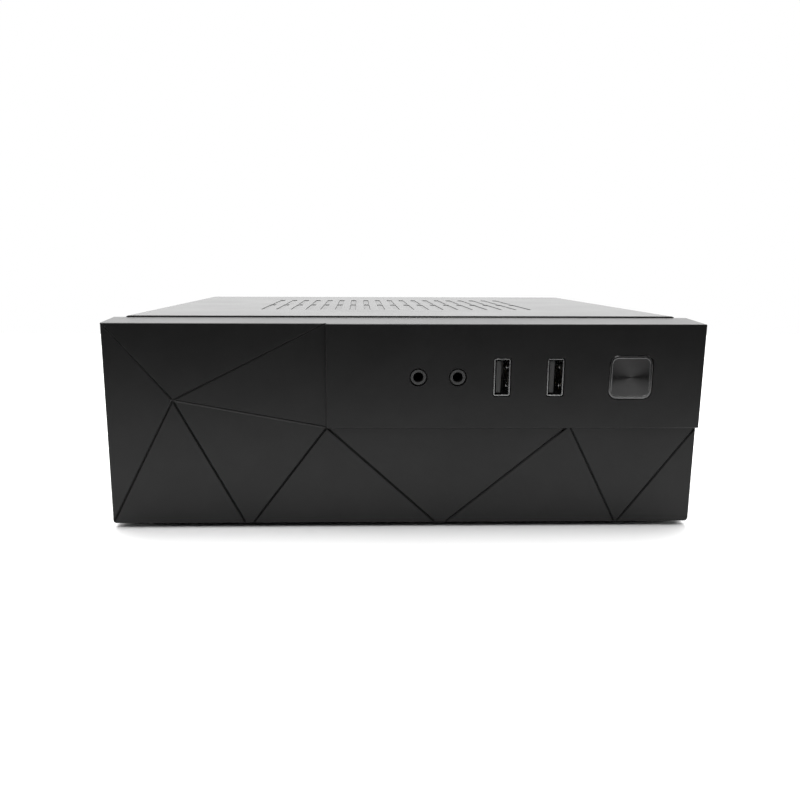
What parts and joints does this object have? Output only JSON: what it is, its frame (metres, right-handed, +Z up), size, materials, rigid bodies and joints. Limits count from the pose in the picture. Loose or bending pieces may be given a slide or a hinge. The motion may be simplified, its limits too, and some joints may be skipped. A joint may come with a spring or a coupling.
{
  "type": "mini pc",
  "caption": "Slim black desktop computer: grooved front bezel with raised socket block, steel tray and slide-off vented cover, board, cooler and drive inside.",
  "frame": {"origin": "on the floor under the middle of the whole object", "axes": "+X to the right as seen from the front, +Y to the rear, +Z up"},
  "size_m": [0.21, 0.2046, 0.0755],
  "materials": {
    "black_plastic": "fine-textured black moulding",
    "black_paint": "satin black powder coat on steel",
    "ring_plastic": "translucent smoke-grey ring",
    "spun_metal": "dark spun anodised aluminium",
    "bright_steel": "plated steel",
    "dark_plastic": "dark moulded plastic",
    "white_plastic": "off-white moulded plastic",
    "board": "solder-masked circuit board",
    "rubber": "black rubber",
    "aluminium": "plain aluminium",
    "brass": "brass",
    "lead_cover": "soft cable cover",
    "black_screw": "black-coated steel screw"
  },
  "bodies": {
    "base": {"analog_video_socket": "bright_steel", "board_plugs": "dark_plastic", "board_power_socket": "dark_plastic", "board_screws": "bright_steel", "board_standoffs": "brass", "bracket_screws": "bright_steel", "capacitors": "aluminium", "chassis": "black_paint", "chipset_heatsink": "aluminium", "coin_cell": "bright_steel", "coin_cell_holder": "dark_plastic", "cooler_backplate": "bright_steel", "cooler_fan_frame": "dark_plastic", "cooler_heatsink": "aluminium", "cooler_screws": "bright_steel", "cpu_socket": "dark_plastic", "dc_inlet": "dark_plastic", "dc_inlet_nut": "bright_steel", "dc_lead": "lead_cover", "digital_video_socket": "bright_steel", "drive_bracket": "aluminium", "drive_cable": "lead_cover", "drive_plug": "dark_plastic", "drive_screws": "bright_steel", "fan_lead": "lead_cover", "front_audio_cable": "lead_cover", "front_bezel": "black_plastic", "front_board_screws": "bright_steel", "front_io_board": "board", "front_plugs": "dark_plastic", "front_usb_cable": "lead_cover", "front_usb_shell_left": "bright_steel", "front_usb_shell_right": "bright_steel", "front_usb_tongue_left": "dark_plastic", "front_usb_tongue_right": "dark_plastic", "headphone_jack": "dark_plastic", "io_shield": "bright_steel", "memory_module_left": "board", "memory_module_right": "board", "memory_socket_left": "dark_plastic", "memory_socket_right": "dark_plastic", "microphone_jack": "dark_plastic", "motherboard": "board", "power_coils": "dark_plastic", "power_led": "white_plastic", "power_switch": "dark_plastic", "processor": "bright_steel", "rear_audio_socket": "dark_plastic", "rear_network_socket": "bright_steel", "rear_usb_stack_left": "bright_steel", "rear_usb_stack_right": "bright_steel", "rubber_feet": "rubber", "solid_state_drive": "aluminium", "switch_lead": "lead_cover"},
    "button": {"power_button_cap": "ring_plastic", "power_button_insert": "spun_metal", "switch_plunger": "dark_plastic"},
    "fan": {"cooler_fan_rotor": "dark_plastic"},
    "cover": {"top_cover": "black_paint", "cover_screws": "black_screw"}
  },
  "joints": [
    {"name": "power_button_press", "type": "slide", "parent": "base", "child": "button", "axis": [0, 1, 0], "range_m": [0, 0.0008], "stiffness_N_per_m": 900, "springref_m": -0.0008},
    {"name": "cooler_fan_spin", "type": "hinge", "parent": "base", "child": "fan", "pos_m": [0.02, 0.0123, 0.0375], "axis": [0, 0, 1], "continuous": true},
    {"name": "cover_slide", "type": "slide", "parent": "base", "child": "cover", "axis": [0, 1, 0], "range_m": [0, 0.19]}
  ]
}
